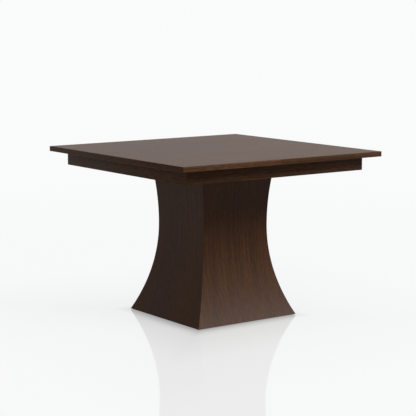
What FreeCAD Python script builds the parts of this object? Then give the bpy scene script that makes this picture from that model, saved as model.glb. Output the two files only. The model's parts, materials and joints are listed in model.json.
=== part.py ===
import FreeCAD, Part
import math
import os

# Whole table, in millimetres: +Z up, the front is -Y, the origin is the pedestal's middle on the floor
TOP_SIZE = 1067.0
TABLE_HEIGHT = 748.0
SEAM_LEFT = 34.0
SEAM_GAP = 0.4
LEAF_WIDTH = 457.2

# Top
TOP_THICKNESS = 23.0
TOP_EASE = 2.0
LIPPING_WIDTH = 12.0
PIN_COUNT = 4
PIN_INSET = 105.0
PIN_DIAMETER = 8.0
PIN_LENGTH = 36.0
PIN_CLEARANCE = 0.1

# Apron
APRON_SETBACK = 60.0
APRON_HEIGHT = 61.0
APRON_THICKNESS = 20.0
APRON_EASE = 1.0
CLEAT_SIZE = 20.0
CLEAT_SEAM_GAP = 40.0
CLEAT_CORNER_GAP = 10.0
CORNER_BLOCK_LEG = 70.0
CORNER_BLOCK_HEIGHT = 45.0

# Pedestal
BASE_WIDTH = 539.0
WAIST_WIDTH = 349.0
HEAD_WIDTH = 392.0
WAIST_HEIGHT = 410.0
PANEL_THICKNESS = 18.0
PANEL_FLOOR_GAP = 3.0
BOARD_THICKNESS = 18.0
FRAME_BORDER = 60.0
POST_WIDTH = 40.0
GLUE_GAP = 0.2
GLIDE_HEIGHT = 6.0
GLIDE_DIAMETER = 34.0
GLIDE_CHAMFER = 2.0
GLIDE_NAIL_DIAMETER = 4.0
GLIDE_NAIL_LENGTH = 14.0

# Slides
SLIDE_SPACE = 41.0
PLATE_THICKNESS = 18.0
PLATE_OVERHANG = 15.0
RAIL_SPACING = 280.0
RAIL_WIDTH = 36.0
RAIL_HEIGHT = 33.0
RAIL_LENGTH = 600.0
RUNNER_WIDTH = 28.0
RUNNER_LIFT = 3.0
RUNNER_RELIEF = 3.0
RUNNER_OVERLAP = 20.0
RUNNER_END_GAP = 10.0
DOVETAIL_DEPTH = 9.0
DOVETAIL_MOUTH = 10.0
DOVETAIL_FLARE = 3.0
SLIDE_CLEARANCE = 0.3

# Equalizer
GEAR_MODULE = 3.0
HALF_TEETH = 10
DEDENDUM = 1.25
PRESSURE_ANGLE = 20.0
GEAR_BACKLASH = 0.3
PINION_HEIGHT = 14.0
RACK_HEIGHT = 16.0
RACK_BACKING = 14.0
RACK_TAIL = 260.0
RACK_BLOCK_LENGTH = 80.0
RACK_BLOCK_WIDTH = 30.0
RACK_SCREW_INSET = 20.0
RACK_STOP_LENGTH = 12.0
RACK_SPARE_TEETH = 2
GUIDE_LENGTH = 110.0
GUIDE_THICKNESS = 3.0
GUIDE_FOOT = 18.0
AXLE_DIAMETER = 12.0
AXLE_SPIGOT_DIAMETER = 10.0
AXLE_FLANGE_DIAMETER = 22.0
AXLE_FLANGE_HEIGHT = 1.5
AXLE_CLEARANCE = 0.05
RING_THICKNESS = 1.2
RING_GROOVE_DEPTH = 0.8
RING_DIAMETER = 19.0

# Locks
LOCK_REACH = 50.0
LOCK_PIVOT_BACK = 30.0
LOCK_PLATE_LENGTH = 52.0
LOCK_PLATE_WIDTH = 36.0
LOCK_PLATE_THICKNESS = 2.0
LOCK_SEAM_GAP = 6.0
LOCK_SCREW_INSET = 7.0
LOCK_POST_DIAMETER = 8.0
LOCK_HEAD_DIAMETER = 14.0
LOCK_HEAD_HEIGHT = 2.0
LOCK_SWING = 85.0
LEVER_THICKNESS = 3.0
LEVER_WIDTH = 22.0
LEVER_LIP = 7.0
LEVER_HANDLE = 46.0
LEVER_HANDLE_WIDTH = 14.0

# Screws
SCREW_DIAMETER = 4.5
SCREW_HEAD_DIAMETER = 9.0
SCREW_BITE = 12.0
SCREW_CLEARANCE = 0.2

# Levels and distances that follow
half_top = TOP_SIZE / 2
seam_x = -SEAM_LEFT
top_under = TABLE_HEIGHT - TOP_THICKNESS
apron_low = top_under - APRON_HEIGHT
apron_outer = half_top - APRON_SETBACK
apron_inner = apron_outer - APRON_THICKNESS
cleat_inner = apron_inner - CLEAT_SIZE
plate_top = top_under - SLIDE_SPACE
column_top = plate_top - PLATE_THICKNESS
travel = LEAF_WIDTH / 2
rail_y = RAIL_SPACING / 2
runner_outer = rail_y + RAIL_WIDTH / 2 + SLIDE_CLEARANCE + RUNNER_WIDTH
dovetail_z = plate_top + RAIL_HEIGHT / 2
lock_y = (runner_outer + cleat_inner) / 2
plate_reach = HEAD_WIDTH / 2 + PLATE_OVERHANG

# Column curves: one arc below the waist and one above it, both upright at the waist
lower_rise = WAIST_HEIGHT - PANEL_FLOOR_GAP
lower_spread = (BASE_WIDTH - WAIST_WIDTH) / 2
lower_radius = (lower_rise ** 2 + lower_spread ** 2) / (2 * lower_spread)
upper_rise = column_top - WAIST_HEIGHT
upper_spread = (HEAD_WIDTH - WAIST_WIDTH) / 2
upper_radius = (upper_rise ** 2 + upper_spread ** 2) / (2 * upper_spread)
hollow = PANEL_THICKNESS + GLUE_GAP
board_low = GLIDE_HEIGHT
board_high = board_low + BOARD_THICKNESS
frame_low = WAIST_HEIGHT - BOARD_THICKNESS / 2
frame_high = WAIST_HEIGHT + BOARD_THICKNESS / 2
head_low = column_top - BOARD_THICKNESS

# Gear sizes that follow
pinion_teeth = 2 * HALF_TEETH
pitch = math.pi * GEAR_MODULE
pitch_radius = GEAR_MODULE * pinion_teeth / 2
rack_root = pitch_radius + DEDENDUM * GEAR_MODULE
rack_back = rack_root + RACK_BACKING
rack_middle = (rack_root + rack_back) / 2
guide_top = plate_top + GUIDE_THICKNESS
rack_low = guide_top + SLIDE_CLEARANCE
rack_high = rack_low + RACK_HEIGHT
flange_top = guide_top + AXLE_FLANGE_HEIGHT
pinion_low = flange_top + SLIDE_CLEARANCE
pinion_high = pinion_low + PINION_HEIGHT
ring_low = pinion_high + SLIDE_CLEARANCE
guide_wall = rack_back + SLIDE_CLEARANCE
guide_half_width = guide_wall + GUIDE_THICKNESS + GUIDE_FOOT

# Lock levels that follow
lever_high = top_under - LOCK_PLATE_THICKNESS - SLIDE_CLEARANCE
lever_low = lever_high - LEVER_THICKNESS
lock_head_high = lever_low - SLIDE_CLEARANCE
post_ahead = LOCK_REACH - LOCK_PIVOT_BACK


def vec(x, y, z):
    return FreeCAD.Vector(x, y, z)


UP = vec(0, 0, 1)
DOWN = vec(0, 0, -1)


def box(x0, x1, y0, y1, z0, z1):
    return Part.makeBox(x1 - x0, y1 - y0, z1 - z0, vec(x0, y0, z0))


def rod(x, y, z0, z1, diameter):
    return Part.makeCylinder(diameter / 2, z1 - z0, vec(x, y, z0))


def prism(outline, z0, z1):
    """Upright piece on a plan outline of (x, y) points."""
    corners = [vec(x, y, z0) for x, y in outline]
    face = Part.Face(Part.makePolygon(corners + corners[:1]))
    return face.extrude(vec(0, 0, z1 - z0))


def bar(outline, x0, x1):
    """Bar along X with an outline of (y, z) points."""
    corners = [vec(x0, y, z) for y, z in outline]
    face = Part.Face(Part.makePolygon(corners + corners[:1]))
    return face.extrude(vec(x1 - x0, 0, 0))


def turned(shape, degrees):
    """The same piece turned about the pedestal's axis."""
    copy = shape.copy()
    copy.rotate(vec(0, 0, 0), UP, degrees)
    return copy


def spread(low, high, count):
    """Places spaced evenly from low to high, both ends included."""
    return [low + (high - low) * i / (count - 1) for i in range(count)]


# Screws: flat countersunk heads, flush with the face that they are driven into
def screw(place, face_z, direction, length, grow=0.0):
    x, y = place
    head = SCREW_HEAD_DIAMETER / 2 + grow
    shank = SCREW_DIAMETER / 2 + grow
    sink = (SCREW_HEAD_DIAMETER - SCREW_DIAMETER) / 2
    start = vec(x, y, face_z)
    cone = Part.makeCone(head, shank, sink, start, direction)
    stem = Part.makeCylinder(shank, length + grow - sink, start + direction * sink, direction)
    return cone.fuse(stem).removeSplitter()


def screws(places, face_z, direction, length):
    return [screw(place, face_z, direction, length) for place in places]


def drilled(shape, places, face_z, direction, length):
    for place in places:
        shape = shape.cut(screw(place, face_z, direction, length, SCREW_CLEARANCE))
    return shape


# Pedestal: the column's half width at a height, at a depth inside its outer face
def half_width(z, depth):
    radius = lower_radius if z < WAIST_HEIGHT else upper_radius
    return WAIST_WIDTH / 2 + radius - math.sqrt((radius + depth) ** 2 - (z - WAIST_HEIGHT) ** 2)


def flank_point(side, depth, z):
    return vec(-BASE_WIDTH / 2, side * half_width(z, depth), z)


def flank_edges(side, depth, z0, z1):
    """Arcs up one flank of the column, parted at the waist where the curve changes."""
    stops = [z0, z1]
    if z0 < WAIST_HEIGHT < z1:
        stops.insert(1, WAIST_HEIGHT)
    edges = []
    for low, high in zip(stops, stops[1:]):
        ends = [flank_point(side, depth, z) for z in (low, (low + high) / 2, high)]
        edges.append(Part.Arc(*ends).toShape())
    return edges


def between_flanks(first, second, z0, z1):
    """Piece along X between two flanks, each given as (side, depth)."""
    edges = flank_edges(*first, z0, z1) + flank_edges(*second, z0, z1)
    edges.append(Part.makeLine(flank_point(*first, z0), flank_point(*second, z0)))
    edges.append(Part.makeLine(flank_point(*first, z1), flank_point(*second, z1)))
    face = Part.Face(Part.Wire(Part.sortEdges(edges)[0]))
    return face.extrude(vec(BASE_WIDTH, 0, 0))


def pedestal_panel(degrees):
    """Curved panel, cut at both sides on the mitre planes through the axis."""
    sheet = between_flanks((-1, 0), (-1, PANEL_THICKNESS), PANEL_FLOOR_GAP, column_top)
    mitre = prism([(0, 0), (-BASE_WIDTH, -BASE_WIDTH), (BASE_WIDTH, -BASE_WIDTH)], 0, TABLE_HEIGHT)
    return turned(sheet.common(mitre), degrees)


def pedestal_board(z0, z1):
    """Board that fills the pedestal's hollow between two heights."""
    across = between_flanks((-1, hollow), (1, hollow), z0, z1)
    return across.common(turned(across, 90))


def corner_posts(z0, z1):
    """Four posts in the pedestal's corners that follow both panels' inner curves."""
    strip = between_flanks((-1, hollow), (-1, hollow + POST_WIDTH), z0, z1)
    post = strip.common(turned(strip, -90))
    return [turned(post, degrees) for degrees in (0, 90, 180, 270)]


def post_places(z):
    """Middle of each corner post at a height."""
    reach = half_width(z, hollow) - POST_WIDTH / 2
    return [(x * reach, y * reach) for x in (-1, 1) for y in (-1, 1)]


def bottom_board():
    board = pedestal_board(board_low, board_high)
    for x, y in post_places(board_high):
        hole = GLIDE_NAIL_DIAMETER + 2 * GLUE_GAP
        board = board.cut(rod(x, y, board_low, board_low + GLIDE_NAIL_LENGTH + GLUE_GAP, hole))
    return board


def waist_frame():
    opening = half_width(WAIST_HEIGHT, hollow) - FRAME_BORDER
    return pedestal_board(frame_low, frame_high).cut(
        box(-opening, opening, -opening, opening, frame_low, frame_high)
    )


def glide(place):
    """Round nylon foot with a chamfered rim and a nail up into the bottom board."""
    x, y = place
    wide = GLIDE_DIAMETER / 2
    rim = Part.makeCone(wide - GLIDE_CHAMFER, wide, GLIDE_CHAMFER, vec(x, y, 0))
    pad = rim.fuse(rod(x, y, GLIDE_CHAMFER, GLIDE_HEIGHT, GLIDE_DIAMETER))
    return pad.fuse(rod(x, y, GLIDE_HEIGHT, GLIDE_HEIGHT + GLIDE_NAIL_LENGTH, GLIDE_NAIL_DIAMETER))


# Mounting plate on the pedestal's head
plate_screw_places = post_places(column_top)
plate_screw_length = PLATE_THICKNESS + BOARD_THICKNESS + SCREW_BITE
rail_screw_places = [
    (x, side * rail_y) for side in (-1, 1) for x in spread(-plate_reach / 2, plate_reach / 2, 3)
]
rail_top = plate_top + RAIL_HEIGHT
rail_screw_length = RAIL_HEIGHT + SCREW_BITE
guide_screw_places = [
    (x * (GUIDE_LENGTH / 2 - GUIDE_FOOT / 2), y * (guide_half_width - GUIDE_FOOT / 2))
    for x in (-1, 1) for y in (-1, 1)
]
guide_screw_length = GUIDE_THICKNESS + SCREW_BITE


def mounting_plate():
    plate = box(-plate_reach, plate_reach, -plate_reach, plate_reach, column_top, plate_top)
    plate = drilled(plate, plate_screw_places, plate_top, DOWN, plate_screw_length)
    plate = drilled(plate, rail_screw_places, rail_top, DOWN, rail_screw_length)
    return drilled(plate, guide_screw_places, guide_top, DOWN, guide_screw_length)


def head_board():
    board = pedestal_board(head_low, column_top)
    return drilled(board, plate_screw_places, plate_top, DOWN, plate_screw_length)


def upper_posts():
    posts = corner_posts(frame_high, head_low)
    return [drilled(post, plate_screw_places, plate_top, DOWN, plate_screw_length) for post in posts]


# Slides: fixed rails grooved on both sides, and runners with a matching dovetail tongue
def fixed_rail(y):
    wide = RAIL_WIDTH / 2
    deep = wide - DOVETAIL_DEPTH
    mouth = DOVETAIL_MOUTH / 2
    flare = mouth + DOVETAIL_FLARE
    one_side = [
        (wide, plate_top), (wide, dovetail_z - mouth), (deep, dovetail_z - flare),
        (deep, dovetail_z + flare), (wide, dovetail_z + mouth), (wide, rail_top),
    ]
    outline = one_side + [(-across, z) for across, z in reversed(one_side)]
    rail = bar([(y + across, z) for across, z in outline], -RAIL_LENGTH / 2, RAIL_LENGTH / 2)
    return drilled(rail, rail_screw_places, rail_top, DOWN, rail_screw_length)


runner_low = plate_top + RUNNER_LIFT
runner_end = RUNNER_END_GAP - cleat_inner
runner_tail = travel + RUNNER_OVERLAP
runner_screw_length = top_under - runner_low + SCREW_BITE


def runner_middle(y):
    return y - RAIL_WIDTH / 2 - SLIDE_CLEARANCE - RUNNER_WIDTH / 2


def runner_screw_places(y, seam):
    along = spread(runner_end + RUNNER_WIDTH, seam - 2 * RUNNER_WIDTH, 3)
    return [(x, runner_middle(y)) for x in along]


def runner(y, seam):
    """Runner on the front side of the fixed rail at y; it is lower where it passes under the other half."""
    slope = DOVETAIL_FLARE / DOVETAIL_DEPTH
    face = y - RAIL_WIDTH / 2 - SLIDE_CLEARANCE
    tip = y - RAIL_WIDTH / 2 + DOVETAIL_DEPTH - SLIDE_CLEARANCE
    root_half = DOVETAIL_MOUTH / 2 - SLIDE_CLEARANCE * (1 + slope)
    tip_half = DOVETAIL_MOUTH / 2 + DOVETAIL_FLARE - SLIDE_CLEARANCE * (1 + slope)
    outline = [
        (face, runner_low), (face, dovetail_z - root_half), (tip, dovetail_z - tip_half),
        (tip, dovetail_z + tip_half), (face, dovetail_z + root_half), (face, top_under),
        (face - RUNNER_WIDTH, top_under), (face - RUNNER_WIDTH, runner_low),
    ]
    wood = bar(outline, runner_end, runner_tail)
    edge = seam - SEAM_GAP / 2
    wood = wood.cut(box(edge, runner_tail, -half_top, half_top, top_under - RUNNER_RELIEF, top_under))
    return drilled(wood, runner_screw_places(y, seam), runner_low, UP, runner_screw_length)


# Equalizer: a pinion on the pedestal between two racks, one rack on each half of the top
def involute(angle):
    return math.tan(angle) - angle


def tooth_half_angle(radius):
    """Half of a pinion tooth's thickness at a radius, as an angle."""
    pressure = math.radians(PRESSURE_ANGLE)
    base = pitch_radius * math.cos(pressure)
    at_pitch = math.pi / (2 * pinion_teeth) + involute(pressure)
    return at_pitch - involute(math.acos(min(1.0, base / radius)))


def polar(radius, angle):
    return vec(radius * math.cos(angle), radius * math.sin(angle), pinion_low)


def pinion():
    base = pitch_radius * math.cos(math.radians(PRESSURE_ANGLE))
    tip = pitch_radius + GEAR_MODULE
    root = pitch_radius - DEDENDUM * GEAR_MODULE
    step = 2 * math.pi / pinion_teeth
    wide = tooth_half_angle(base)
    narrow = tooth_half_angle(tip)
    edges = []
    for i in range(pinion_teeth):
        middle = math.pi / 2 + i * step
        for side in (-1, 1):
            foot = polar(base, middle + side * wide)
            flank = polar(pitch_radius, middle + side * tooth_half_angle(pitch_radius))
            head = polar(tip, middle + side * narrow)
            edges.append(Part.makeLine(polar(root, middle + side * wide), foot))
            edges.append(Part.Arc(foot, flank, head).toShape())
        crown = [polar(tip, middle + turn) for turn in (-narrow, 0, narrow)]
        edges.append(Part.Arc(*crown).toShape())
        valley = [polar(root, middle + turn) for turn in (wide, step / 2, step - wide)]
        edges.append(Part.Arc(*valley).toShape())
    face = Part.Face(Part.Wire(Part.sortEdges(edges)[0]))
    gear = face.extrude(vec(0, 0, PINION_HEIGHT))
    return gear.cut(rod(0, 0, pinion_low, pinion_high, AXLE_DIAMETER + 2 * AXLE_CLEARANCE))


def pinion_axle():
    axle_top = ring_low + RING_THICKNESS + 2 * RING_GROOVE_DEPTH
    axle = rod(0, 0, plate_top, guide_top, AXLE_SPIGOT_DIAMETER)
    axle = axle.fuse(rod(0, 0, guide_top, flange_top, AXLE_FLANGE_DIAMETER))
    axle = axle.fuse(rod(0, 0, flange_top, axle_top, AXLE_DIAMETER)).removeSplitter()
    groove = rod(0, 0, ring_low - AXLE_CLEARANCE, ring_low + RING_THICKNESS + AXLE_CLEARANCE, RING_DIAMETER)
    core = rod(0, 0, plate_top, axle_top, AXLE_DIAMETER - 2 * RING_GROOVE_DEPTH)
    return axle.cut(groove.cut(core))


def retaining_ring():
    """Open ring in the axle's groove."""
    inside = AXLE_DIAMETER - 2 * RING_GROOVE_DEPTH + 2 * AXLE_CLEARANCE
    ring = rod(0, 0, ring_low, ring_low + RING_THICKNESS, RING_DIAMETER)
    ring = ring.cut(rod(0, 0, ring_low, ring_low + RING_THICKNESS, inside))
    mouth = inside / 4
    return ring.cut(box(0, RING_DIAMETER, -mouth, mouth, ring_low, ring_low + RING_THICKNESS))


def rack_guide():
    """Plate with two upright walls that keep the racks in mesh, and feet outside the walls."""
    reach = GUIDE_LENGTH / 2
    guide = box(-reach, reach, -guide_half_width, guide_half_width, plate_top, guide_top)
    for side in (-1, 1):
        near, far = sorted((side * guide_wall, side * (guide_wall + GUIDE_THICKNESS)))
        guide = guide.fuse(box(-reach, reach, near, far, guide_top, rack_high))
    guide = guide.removeSplitter()
    guide = guide.cut(rod(0, 0, plate_top, guide_top, AXLE_SPIGOT_DIAMETER + 2 * AXLE_CLEARANCE))
    return drilled(guide, guide_screw_places, guide_top, DOWN, guide_screw_length)


rack_screw_places = [
    (x - RACK_TAIL, rack_middle) for x in (RACK_SCREW_INSET, RACK_BLOCK_LENGTH - RACK_SCREW_INSET)
]
rack_screw_length = top_under - rack_low + SCREW_BITE
rack_stop = GUIDE_LENGTH / 2 + travel + SLIDE_CLEARANCE


def rack():
    """Toothed bar beside the pinion, with a gap between teeth in the middle and a stop at its free end."""
    lean = math.tan(math.radians(PRESSURE_ANGLE))
    half = pitch / 4 - GEAR_BACKLASH / 2
    tip_half = half - GEAR_MODULE * lean
    root_half = half + (rack_root - pitch_radius) * lean
    tip = pitch_radius - GEAR_MODULE
    last = math.ceil(travel / pitch) + RACK_SPARE_TEETH
    stop_back = guide_wall + GUIDE_THICKNESS
    stop_end = rack_stop + RACK_STOP_LENGTH
    outline = [(-RACK_TAIL, rack_root), (-RACK_TAIL, rack_back), (rack_stop, rack_back)]
    outline += [(rack_stop, stop_back), (stop_end, stop_back), (stop_end, rack_root)]
    for i in reversed(range(-RACK_SPARE_TEETH, last)):
        middle = (i + 0.5) * pitch
        outline.append((middle + root_half, rack_root))
        outline.append((middle + tip_half, tip))
        outline.append((middle - tip_half, tip))
        outline.append((middle - root_half, rack_root))
    toothed = prism(outline, rack_low, rack_high)
    return drilled(toothed, rack_screw_places, rack_low, UP, rack_screw_length)


def rack_block():
    """Spacer between the rack's tail and the top."""
    near = rack_middle - RACK_BLOCK_WIDTH / 2
    far = rack_middle + RACK_BLOCK_WIDTH / 2
    block = box(-RACK_TAIL, RACK_BLOCK_LENGTH - RACK_TAIL, near, far, rack_high, top_under)
    return drilled(block, rack_screw_places, rack_low, UP, rack_screw_length)


# Half of the top, drawn as the left one; seam is where the two halves meet
def cleat_ends(seam):
    """Start and end of the side cleats along X, and the half length of the end cleat."""
    clear = apron_inner - CORNER_BLOCK_LEG - CLEAT_CORNER_GAP
    return -clear, seam - CLEAT_SEAM_GAP, clear


cleat_low = top_under - CLEAT_SIZE


def apron_cleats(seam):
    start, stop, half_length = cleat_ends(seam)
    front = box(start, stop, -apron_inner, -cleat_inner, cleat_low, top_under)
    back = box(start, stop, cleat_inner, apron_inner, cleat_low, top_under)
    end = box(-apron_inner, -cleat_inner, -half_length, half_length, cleat_low, top_under)
    return [front, back, end]


def lock_screw_places(seam):
    """Two screws at opposite corners of each lock plate, clear of the post between them."""
    near = seam - LOCK_SEAM_GAP - LOCK_SCREW_INSET
    far = seam - LOCK_SEAM_GAP - LOCK_PLATE_LENGTH + LOCK_SCREW_INSET
    across = LOCK_PLATE_WIDTH / 2 - LOCK_SCREW_INSET
    corners = ((near, across), (far, -across))
    return [(x, side * lock_y + y) for side in (-1, 1) for x, y in corners]


lock_plate_low = top_under - LOCK_PLATE_THICKNESS
lock_screw_length = LOCK_PLATE_THICKNESS + SCREW_BITE


def eased_half(reach, z0, z1, seam, ease):
    """Half of a square slab with its outer edges rounded; the seam face stays square."""
    slab = box(-reach, seam - SEAM_GAP / 2, -reach, reach, z0, z1)
    outer = [edge for edge in slab.Edges if edge.BoundBox.XMin < seam - SEAM_GAP]
    return slab.makeFillet(ease, outer)


def mitred(shape, reach, width, seam):
    """Front, back and end borders of a half, cut on the mitres at its two corners."""
    inside = reach - width
    front_plan = [(-reach, -reach), (seam, -reach), (seam, -inside), (-inside, -inside)]
    back_plan = [(x, -y) for x, y in front_plan]
    end_plan = [(-reach, -reach), (-inside, -inside), (-inside, inside), (-reach, reach)]
    return [shape.common(prism(plan, 0, TABLE_HEIGHT)) for plan in (front_plan, back_plan, end_plan)]


def lippings(seam):
    slab = eased_half(half_top, top_under, TABLE_HEIGHT, seam, TOP_EASE)
    return mitred(slab, half_top, LIPPING_WIDTH, seam)


def aprons(seam):
    ring = eased_half(apron_outer, apron_low, top_under, seam, APRON_EASE)
    return mitred(ring, apron_outer, APRON_THICKNESS, seam)


def pin_places():
    return spread(PIN_INSET - half_top, half_top - PIN_INSET, PIN_COUNT)


def table_pin(y, seam, grow):
    """Round pin across the seam at the middle of the top's thickness."""
    length = PIN_LENGTH + 2 * grow
    start = vec(seam - length / 2, y, top_under + TOP_THICKNESS / 2)
    return Part.makeCylinder(PIN_DIAMETER / 2 + grow, length, start, vec(1, 0, 0))


def top_panel(seam):
    inside = half_top - LIPPING_WIDTH
    panel = box(-inside, seam - SEAM_GAP / 2, -inside, inside, top_under, TABLE_HEIGHT)
    for y in pin_places():
        panel = panel.cut(table_pin(y, seam, PIN_CLEARANCE))
    for y in (-rail_y, rail_y):
        panel = drilled(panel, runner_screw_places(y, seam), runner_low, UP, runner_screw_length)
    panel = drilled(panel, rack_screw_places, rack_low, UP, rack_screw_length)
    return drilled(panel, lock_screw_places(seam), lock_plate_low, UP, lock_screw_length)


def corner_blocks():
    """Three-cornered blocks glued into the two apron corners."""
    plan = [
        (-apron_inner, -apron_inner), (CORNER_BLOCK_LEG - apron_inner, -apron_inner),
        (-apron_inner, CORNER_BLOCK_LEG - apron_inner),
    ]
    front = prism(plan, top_under - CORNER_BLOCK_HEIGHT, top_under)
    back = prism([(x, -y) for x, y in plan], top_under - CORNER_BLOCK_HEIGHT, top_under)
    return [front, back]


# Locks: a plate with a lever on the left half, a keeper on the right half
def lock_plate(y, seam):
    far = seam - LOCK_SEAM_GAP - LOCK_PLATE_LENGTH
    wide = LOCK_PLATE_WIDTH / 2
    plate = box(far, seam - LOCK_SEAM_GAP, y - wide, y + wide, lock_plate_low, top_under)
    return drilled(plate, lock_screw_places(seam), lock_plate_low, UP, lock_screw_length)


def lever_plate(y, seam):
    hole = LOCK_POST_DIAMETER + 2 * AXLE_CLEARANCE
    return lock_plate(y, seam).cut(rod(seam - LOCK_PIVOT_BACK, y, lock_plate_low, top_under, hole))


def lock_rivet(y, seam):
    x = seam - LOCK_PIVOT_BACK
    head = rod(x, y, lock_head_high - LOCK_HEAD_HEIGHT, lock_head_high, LOCK_HEAD_DIAMETER)
    return head.fuse(rod(x, y, lock_head_high, top_under, LOCK_POST_DIAMETER))


def lock_keeper(y, seam):
    x = seam - post_ahead
    post = rod(x, y, lock_head_high, lock_plate_low, LOCK_POST_DIAMETER)
    head = rod(x, y, lock_head_high - LOCK_HEAD_HEIGHT, lock_head_high, LOCK_HEAD_DIAMETER)
    return lock_plate(y, seam).fuse(post).fuse(head)


def lock_lever(y, seam):
    """Lever with a hook that is concentric with its pivot, drawn locked and then swung open."""
    post = LOCK_POST_DIAMETER / 2 + SLIDE_CLEARANCE
    arm_end = LOCK_REACH + post + LEVER_LIP
    wide = LEVER_WIDTH / 2
    lever = box(0, arm_end, -wide, wide, lever_low, lever_high)
    lever = lever.common(rod(0, 0, lever_low, lever_high, 2 * arm_end))
    lever = lever.fuse(rod(0, 0, lever_low, lever_high, LEVER_WIDTH))
    slim = LEVER_HANDLE_WIDTH / 2
    lever = lever.fuse(box(-LEVER_HANDLE, 0, -slim, slim, lever_low, lever_high))
    lever = lever.fuse(rod(-LEVER_HANDLE, 0, lever_low, lever_high, LEVER_HANDLE_WIDTH))
    lever = lever.removeSplitter()
    start = vec(0, 0, lever_low)
    slot = Part.makeCylinder(LOCK_REACH + post, LEVER_THICKNESS, start, UP, 45)
    slot = slot.cut(Part.makeCylinder(LOCK_REACH - post, LEVER_THICKNESS, start))
    lever = lever.cut(slot.fuse(rod(LOCK_REACH, 0, lever_low, lever_high, 2 * post)))
    lever = lever.cut(rod(0, 0, lever_low, lever_high, LOCK_POST_DIAMETER + 2 * AXLE_CLEARANCE))
    lever.rotate(vec(0, 0, 0), UP, -LOCK_SWING)
    lever.translate(vec(seam - LOCK_PIVOT_BACK, y, 0))
    return lever


def save(name, solids):
    shape = solids[0] if len(solids) == 1 else Part.makeCompound(solids)
    shape.exportStep(f"parts/{name}.step")


def save_pedestal():
    for name, degrees in (("front", 0), ("right", 90), ("back", 180), ("left", 270)):
        save(f"pedestal_{name}_panel", [pedestal_panel(degrees)])
    save("pedestal_bottom_board", [bottom_board()])
    save("pedestal_waist_frame", [waist_frame()])
    save("pedestal_head_board", [head_board()])
    save("pedestal_lower_corner_posts", corner_posts(board_high, frame_low))
    save("pedestal_upper_corner_posts", upper_posts())
    save("pedestal_glides", [glide(place) for place in post_places(board_high)])
    save("mounting_plate", [mounting_plate()])
    save("mounting_plate_screws", screws(plate_screw_places, plate_top, DOWN, plate_screw_length))


def save_slides():
    save("front_fixed_rail", [fixed_rail(-rail_y)])
    save("back_fixed_rail", [fixed_rail(rail_y)])
    save("fixed_rail_screws", screws(rail_screw_places, rail_top, DOWN, rail_screw_length))
    save("rack_guide", [rack_guide()])
    save("rack_guide_screws", screws(guide_screw_places, guide_top, DOWN, guide_screw_length))
    save("pinion_axle", [pinion_axle()])
    save("pinion_retaining_ring", [retaining_ring()])
    save("pinion", [pinion()])


def save_half(side, seam, degrees, near, far):
    """One half of the top; near and far name the sides that its -Y and +Y borders have in place."""
    def put(name, solids):
        save(f"{side}_{name}", [turned(solid, degrees) for solid in solids])

    put("top_panel", [top_panel(seam)])
    for name, piece in zip((near, far, "end"), lippings(seam)):
        put(f"{name}_lipping", [piece])
    for name, piece in zip((near, far, "end"), aprons(seam)):
        put(f"{name}_apron", [piece])
    put("corner_blocks", corner_blocks())
    put("apron_cleats", apron_cleats(seam))
    put(f"{near}_runner", [runner(-rail_y, seam)])
    put(f"{far}_runner", [runner(rail_y, seam)])
    places = runner_screw_places(-rail_y, seam) + runner_screw_places(rail_y, seam)
    put("runner_screws", screws(places, runner_low, UP, runner_screw_length))
    put("rack", [rack()])
    put("rack_block", [rack_block()])
    put("rack_screws", screws(rack_screw_places, rack_low, UP, rack_screw_length))
    put("lock_screws", screws(lock_screw_places(seam), lock_plate_low, UP, lock_screw_length))


def save_locks():
    save("table_pins", [table_pin(y, seam_x, 0) for y in pin_places()])
    save("lock_plates", [lever_plate(y, seam_x) for y in (-lock_y, lock_y)])
    save("lock_rivets", [lock_rivet(y, seam_x) for y in (-lock_y, lock_y)])
    save("front_lock_lever", [lock_lever(-lock_y, seam_x)])
    save("back_lock_lever", [lock_lever(lock_y, seam_x)])
    save("lock_keepers", [turned(lock_keeper(y, SEAM_LEFT), 180) for y in (-lock_y, lock_y)])


os.makedirs("parts", exist_ok=True)
save_pedestal()
save_slides()
save_half("left", seam_x, 0, "front", "back")
save_half("right", SEAM_LEFT, 180, "back", "front")
save_locks()
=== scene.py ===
import json
import logging
import math
from collections.abc import Callable, Iterable
from dataclasses import dataclass, field
from enum import Enum
from typing import ClassVar

import bmesh
import bpy
from mathutils import Matrix, Vector


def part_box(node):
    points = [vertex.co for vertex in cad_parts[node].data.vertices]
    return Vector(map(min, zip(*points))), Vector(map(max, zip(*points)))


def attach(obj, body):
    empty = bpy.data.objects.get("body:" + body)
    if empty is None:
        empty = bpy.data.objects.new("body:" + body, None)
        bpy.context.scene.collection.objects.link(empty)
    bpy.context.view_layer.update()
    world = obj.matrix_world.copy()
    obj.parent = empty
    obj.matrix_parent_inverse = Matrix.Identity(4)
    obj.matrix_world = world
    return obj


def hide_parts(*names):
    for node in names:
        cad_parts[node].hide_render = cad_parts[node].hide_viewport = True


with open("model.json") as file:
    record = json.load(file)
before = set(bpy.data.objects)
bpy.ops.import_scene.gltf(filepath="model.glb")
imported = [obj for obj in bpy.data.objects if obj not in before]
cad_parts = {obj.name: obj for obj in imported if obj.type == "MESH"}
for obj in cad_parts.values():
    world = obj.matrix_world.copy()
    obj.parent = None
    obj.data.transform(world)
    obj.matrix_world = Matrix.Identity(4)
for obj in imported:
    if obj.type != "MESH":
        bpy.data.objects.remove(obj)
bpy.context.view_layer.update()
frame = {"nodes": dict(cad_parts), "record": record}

PHOTO_WIDTH = 416
MM = 0.001
SHARP_ANGLE = math.radians(35)

Colour = tuple[float, float, float]
Point = tuple[float, float, float]
Stops = tuple[tuple[float, float], ...]
log = logging.getLogger("dining_table")


class Grain(Enum):
    """Way that the wood's fibres run, as the turn that lays them along a pattern's X axis."""

    ALONG_X = (0.0, 0.0, 0.0)
    ALONG_Y = (0.0, 0.0, math.radians(-90))
    UPRIGHT = (0.0, math.radians(90), 0.0)


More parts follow.
